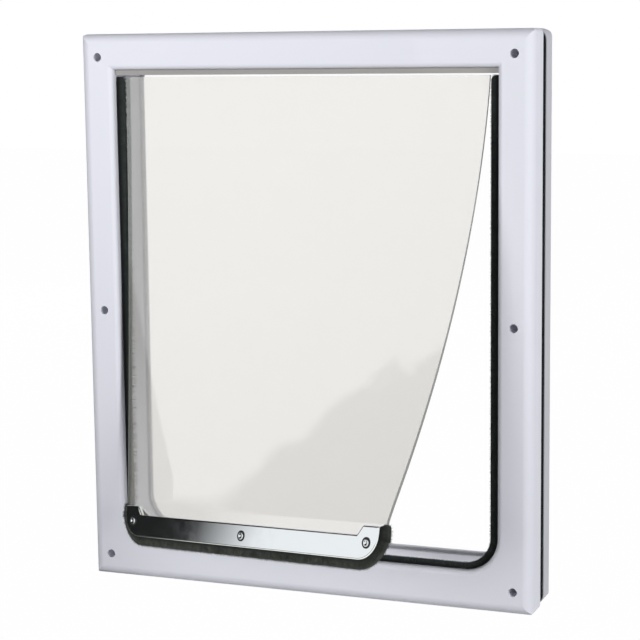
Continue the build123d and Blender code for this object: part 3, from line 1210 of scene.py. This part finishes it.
        # The rim of a face takes the slot after its own, so the cut edge stands in two slots.
        self.shelf.dress(sheet, Surface.CLEAR_VINYL)
        for surface in (Surface.VINYL_EDGE_PAINTED_SHADE, Surface.VINYL_BAND_PAINTED_SHADE, Surface.VINYL_EDGE_PAINTED_SHADE):
            sheet.data.materials.append(self.shelf.get(surface))
        # The border column takes the darker vinyl: painted shade beside the left pile.
        for index in shaded_border:
            sheet.data.polygons[index].material_index = 2
        bpy.ops.object.modifier_apply(modifier="thickness")
        bpy.ops.object.shade_smooth_by_angle(angle=radians(self.sheet_smooth))
        return sheet

    def brush_station(self, point: OutlinePoint) -> Station:
        """Return the brush's cross section at one point of its outline.

        Args:
            point: Place along and up the bar, outward direction along and up, and swell.

        Returns:
            The cross section.
        """
        x, z, out_x, out_z, swell = point
        middle, across, up, front = self.bar_axes()
        dip = self.corner_dip * abs(2 * out_x * out_z) if out_z < 0 else 0.0
        reach = self.pile_height + self.pile_sunk - dip + self.pile_rise * max(out_z, 0.0)
        root = middle + across * x + up * z
        outward = (across * out_x + up * out_z).normalized()
        # Painted shade: less of the painted highlight on the tips towards the right end.
        tone = 1.0 - self.right_painted_shade * max(out_x, 0.0)
        return Station(root, root + outward * reach, front, swell, 0.0, tone)

    def build_pile(self) -> bpy.types.Object:
        """Set the brush pile round the ends and the lower edge of the bar.

        The fibres fan upwards at both ends, and are a little shorter round the corners.

        Returns:
            The brush.
        """
        side = self.bar_half - self.pile_sunk
        radius = self.bar_corner - self.pile_sunk
        low = self.bar_bottom - self.pile_sunk
        top = self.ear_top - self.pile_below_ear
        outline: List[OutlinePoint] = []
        for depth, swell in self.pile_ends:
            fan = self.end_fan * max(1 - depth / self.pile_ends[-1][0], 0.0)
            outline.append((side, top - depth, cos(fan), sin(fan), swell))
        for angle in arc_angles(self.pile_turns):
            x = side - radius + radius * cos(angle)
            z = radius - low - radius * sin(angle)
            outline.append((x, z, cos(angle), -sin(angle), 1.0))
        half = side - radius
        level = [
            (half - 2 * half * step / self.pile_steps, -low, 0.0, -1.0, 1.0)
            for step in range(self.pile_steps + 1)
        ]
        left = [(-x, z, -out_x, out_z, swell) for x, z, out_x, out_z, swell in reversed(outline)]
        stations = [self.brush_station(point) for point in outline + level + left]
        strip = BrushStrip(
            name="flap_brush",
            stations=stations,
            thickness=self.pile_thickness,
            fibres=self.pile_fibres,
            spread=self.pile_spread,
            seed=self.pile_seed,
        )
        return strip.build()

    def build_bar(self) -> bpy.types.Object:
        """Shape a flat disc into the eared front bar, thicken it and round its edges.

        Returns:
            The front bar.
        """
        flat = self.bar_half - self.bar_corner
        centre_z = self.bar_corner - self.bar_bottom
        turns = [0.0] + arc_angles(self.bar_turns) + [pi / 2]
        radius = self.bar_corner
        right = [(flat + radius * sin(turn), centre_z - radius * cos(turn)) for turn in turns]
        right += [
            (self.bar_half, self.ear_top - self.ear_round),
            (self.bar_half - self.ear_round / 3, self.ear_top - self.ear_round / 4),
            (self.bar_half - self.ear_round, self.ear_top),
            (self.ear_outer + self.ear_round * 2 / 3, self.ear_top),
            (self.ear_outer, self.ear_top - self.ear_round / 3),
            (self.ear_inner + self.notch_round, self.bar_top + self.notch_round),
            (self.ear_inner, self.bar_top),
        ]
        outline = right + [(-x, z) for x, z in reversed(right)]
        bpy.ops.object.select_all(action="DESELECT")
        bpy.ops.mesh.primitive_circle_add(vertices=len(outline), radius=1, fill_type="NGON")
        bar = bpy.context.active_object
        bar.name = "eared_front_bar"
        order = list(bar.data.polygons[0].vertices)
        for index, (x, z) in zip(order, outline):
            bar.data.vertices[index].co = (x, z, self.sheet_thickness / 2)
        bar.data.update()
        bpy.ops.object.mode_set(mode="EDIT")
        bpy.ops.mesh.select_all(action="SELECT")
        bpy.ops.mesh.extrude_region_move(TRANSFORM_OT_translate={"value": (0, 0, self.bar_fold)})
        bpy.ops.object.mode_set(mode="OBJECT")
        face_outwards()
        rounded = bar.modifiers.new("fold", "BEVEL")
        rounded.width = self.bar_edge
        rounded.segments = self.bar_edge_steps
        rounded.limit_method = "ANGLE"
        rounded.angle_limit = radians(self.bar_crease)
        bpy.ops.object.modifier_apply(modifier="fold")
        # A margin round each large face keeps it flat to the eye, so that it mirrors evenly.
        for polygon in bar.data.polygons:
            polygon.select = abs(polygon.normal.z) > SQUARE_ON
        bpy.ops.object.mode_set(mode="EDIT")
        bpy.ops.mesh.select_mode(type="FACE")
        bpy.ops.mesh.inset(thickness=self.face_margin, depth=0)
        bpy.ops.object.mode_set(mode="OBJECT")
        middle, across, up, front = self.bar_axes()
        for vertex in bar.data.vertices:
            x, z, depth = vertex.co
            vertex.co = (middle + across * x + up * z + front * depth) * MM
        bar.data.update()
        face_outwards()
        bpy.ops.object.shade_smooth_by_angle(angle=radians(self.bar_smooth))
        self.shelf.dress(bar, Surface.STEEL)
        return bar

    def rivet(self, name: str) -> bpy.types.Object:
        """Turn a cylinder into a rivet along Z, with a dimpled head at its front end.

        Args:
            name: Name of the rivet.

        Returns:
            The rivet, in millimetres and at the origin.
        """
        bpy.ops.object.select_all(action="DESELECT")
        bpy.ops.mesh.primitive_cylinder_add(
            vertices=self.rivet_sides,
            radius=self.rivet_radius,
            depth=2 * self.rivet_seat,
            end_fill_type="NGON",
        )
        rivet = bpy.context.active_object
        rivet.name = name
        wide = self.rivet_rim / self.rivet_radius
        narrow = self.rivet_head / self.rivet_rim
        # Each step scales the end face and moves it out, by a share and by millimetres.
        steps = {
            1.0: (
                (wide, 0.0),
                (1.0, 0.3),
                (narrow, 0.0),
                (1.0, 0.2),
                (0.93, 0.25),
                (0.8, 0.15),
                (0.75, -0.1),
                (0.6, -0.4),
                (0.7, -0.05),
            ),
            -1.0: ((wide, 0.0), (1.0, 0.4), (0.9, 0.4), (0.7, 0.15)),
        }
        bpy.ops.object.mode_set(mode="EDIT")
        bpy.ops.mesh.select_mode(type="FACE")
        bpy.ops.mesh.select_all(action="DESELECT")
        bpy.ops.object.mode_set(mode="OBJECT")
        for end, moves in steps.items():
            for polygon in rivet.data.polygons:
                polygon.select = polygon.center.z * end > self.rivet_seat - HAIR
            bpy.ops.object.mode_set(mode="EDIT")
            for scale, rise in moves:
                bpy.ops.mesh.extrude_region_move(TRANSFORM_OT_translate={"value": (0, 0, rise * end)})
                bpy.ops.transform.resize(value=(scale, scale, 1), center_override=(0, 0, 0))
            bpy.ops.object.mode_set(mode="OBJECT")
        rivet.data.materials.append(self.shelf.get(Surface.STEEL))
        rivet.data.materials.append(self.shelf.get(Surface.RIVET_RIM_PAINTED_SHADE))
        # The ring round the head takes the dark finish: painted shade of the gap round the head.
        for polygon in rivet.data.polygons:
            spot = polygon.center
            if spot.z > self.rivet_seat + HAIR and spot.to_2d().length > self.rivet_head + HAIR:
                polygon.material_index = 1
        bpy.ops.object.mode_set(mode="EDIT")
        bpy.ops.mesh.select_all(action="SELECT")
        bpy.ops.mesh.remove_doubles(threshold=0.1 * HAIR)
        bpy.ops.object.mode_set(mode="OBJECT")
        face_outwards()
        bpy.ops.object.shade_smooth_by_angle(angle=radians(self.rivet_smooth))
        return rivet

    def build_rivets(self) -> bpy.types.Object:
        """Copy one rivet to its three places along the bar.

        Returns:
            The rivets as one object.
        """
        middle, across, up, front = self.bar_axes()
        first = self.rivet("bar_rivet")
        shape = [vertex.co.copy() for vertex in first.data.vertices]
        copies = [first]
        for _ in self.rivet_places[1:]:
            copy = first.copy()
            copy.data = first.data.copy()
            bpy.context.scene.collection.objects.link(copy)
            copies.append(copy)
        for piece, (x, z) in zip(copies, self.rivet_places):
            seat = middle + across * x + up * z
            for vertex, flat in zip(piece.data.vertices, shape):
                vertex.co = (seat + across * flat.x + up * flat.y + front * flat.z) * MM
            piece.data.update()
        bpy.ops.object.select_all(action="DESELECT")
        for piece in copies:
            piece.select_set(True)
        bpy.context.view_layer.objects.active = first
        bpy.ops.object.join()
        face_outwards()
        return first

    def build(self) -> None:
        """Build and dress the flap's pieces."""
        sheet = self.build_sheet()
        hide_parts("flap_sheet")
        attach(sheet, "flap")
        log.info("sheet built")
        brush = self.build_pile()
        # The flap brush takes black pile with a painted highlight on its tips.
        self.shelf.dress(brush, Surface.BRUSH_PILE_PAINTED_LIGHT)
        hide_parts("flap_pile_seal")
        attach(brush, "flap")
        log.info("flap brush built: %d faces", len(brush.data.polygons))
        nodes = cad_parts
        rivets = self.build_rivets()
        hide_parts("bar_rivets")
        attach(rivets, "flap")
        log.info("rivets built")
        bar = self.build_bar()
        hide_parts("front_bar")
        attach(bar, "flap")
        log.info("front bar built")
        self.shelf.dress(nodes["rear_bar"], Surface.STEEL)
        self.shelf.dress(nodes["bar_magnets"], Surface.MAGNET)


@dataclass
class Frames:
    """The two moulded frames, the gasket between them and the head clamp, in millimetres."""

    shelf: MaterialShelf
    jamb_x: float = 163.0
    sill_z: float = -195.5
    corner_radius: float = 28.5
    passage_radius: float = 20.3
    seal_top: float = 193.0
    seal_y: float = -15.4
    pile_thickness: float = 4.4
    pile_fibres: int = 15000
    pile_spread: float = 0.5
    pile_seed: int = 7
    pile_steps: int = 70
    pile_turns: int = 16
    tip_drop: float = 1.0
    # Depth below a tip of the strip, and the swell there.
    pile_ends: Tuple[Tuple[float, float], ...] = ((0.0, 0.45), (0.6, 0.7), (1.6, 0.88), (3.2, 1.0))
    jamb_pile: float = 8.6
    sill_pile: float = 6.2
    # The fibres of the left jamb are combed back by this much.
    jamb_fringe: float = 9.0

    def brush_station(self, point: OutlinePoint, mirror: int) -> Station:
        """Return the brush's cross section at one point of the opening.

        Args:
            point: Root across and up, tip across and up, and swell.
            mirror: 1 on the right, -1 on the left.

        Returns:
            The cross section.
        """
        root_x, root_z, tip_x, tip_z, swell = point
        combed = mirror < 0 and root_z > self.sill_z + self.corner_radius
        return Station(
            Vector((root_x * mirror, self.seal_y, root_z)),
            Vector((tip_x * mirror, self.seal_y, tip_z)),
            Vector((0, -1, 0)),
            swell,
            self.jamb_fringe if combed else 0.0,
        )

    def build_pile(self) -> bpy.types.Object:
        """Set the brush pile along both jambs and the sill.

        Returns:
            The brush.
        """
        tip_x = self.jamb_x - self.jamb_pile
        tip_z = self.sill_z + self.sill_pile
        outer = (self.jamb_x - self.corner_radius, self.sill_z + self.corner_radius)
        inner = (tip_x - self.passage_radius, tip_z + self.passage_radius)
        points: List[OutlinePoint] = []
        for depth, swell in self.pile_ends:
            height = self.seal_top - depth
            points.append((self.jamb_x, height, tip_x, height - self.tip_drop, swell))
        first = self.seal_top - self.pile_ends[-1][0]
        tip_first = first - self.tip_drop
        for step in range(1, self.pile_steps + 1):
            share = step / self.pile_steps
            height = first + (outer[1] - first) * share
            tip_height = tip_first + (inner[1] - tip_first) * share
            points.append((self.jamb_x, height, tip_x, tip_height, 1.0))
        for angle in arc_angles(self.pile_turns):
            root_x = outer[0] + self.corner_radius * cos(angle)
            root_z = outer[1] - self.corner_radius * sin(angle)
            end_x = inner[0] + self.passage_radius * cos(angle)
            end_z = inner[1] - self.passage_radius * sin(angle)
            points.append((root_x, root_z, end_x, end_z, 1.0))
        stations = [self.brush_station(point, 1) for point in points]
        for step in range(self.pile_steps + 1):
            x = outer[0] - 2 * outer[0] * step / self.pile_steps
            stations.append(self.brush_station((x, self.sill_z, x, tip_z, 1.0), 1))
        stations += [self.brush_station(point, -1) for point in reversed(points)]
        strip = BrushStrip(
            name="frame_brush",
            stations=stations,
            thickness=self.pile_thickness,
            fibres=self.pile_fibres,
            spread=self.pile_spread,
            seed=self.pile_seed,
        )
        return strip.build()

    def build(self) -> None:
        """Build the frame's brush and dress the carried-over nodes."""
        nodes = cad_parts
        brush = self.build_pile()
        # The frame brush takes the darker copy of the pile: painted shade of the tunnel.
        self.shelf.dress(brush, Surface.FRAME_PILE_PAINTED_LIGHT)
        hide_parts("frame_pile_seal")
        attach(brush, "frame")
        log.info("frame brush built: %d faces", len(brush.data.polygons))
        self.shelf.dress(nodes["front_frame"], Surface.MOULDED_WHITE)
        # The rear frame takes the greyer copy of the white ABS: painted shade.
        self.shelf.dress(nodes["rear_frame"], Surface.MOULDED_REAR_PAINTED_SHADE)
        # The clamp jaws are darkened grey: painted shade under the head of the opening.
        for name in ("clamp_front_jaw", "clamp_rear_jaw"):
            self.shelf.dress(nodes[name], Surface.CLAMP_PAINTED_SHADE)
        # The gasket's black foam is partly painted shade of the gap between the frames.
        self.shelf.dress(nodes["door_gasket"], Surface.FOAM_AND_PAINTED_SHADE)
        self.shelf.dress(nodes["clamp_screws"], Surface.STEEL)
        self.shelf.dress(nodes["flap_hem"], Surface.CLEAR_VINYL)
        self.shelf.dress(nodes["sill_magnet"], Surface.MAGNET)


def main() -> None:
    """Build the scene."""
    logging.basicConfig(level=logging.INFO, format="%(name)s: %(message)s")
    shelf = MaterialShelf()
    Studio().build()
    Frames(shelf).build()
    Flap(shelf).build()


if __name__ == "__main__":
    main()
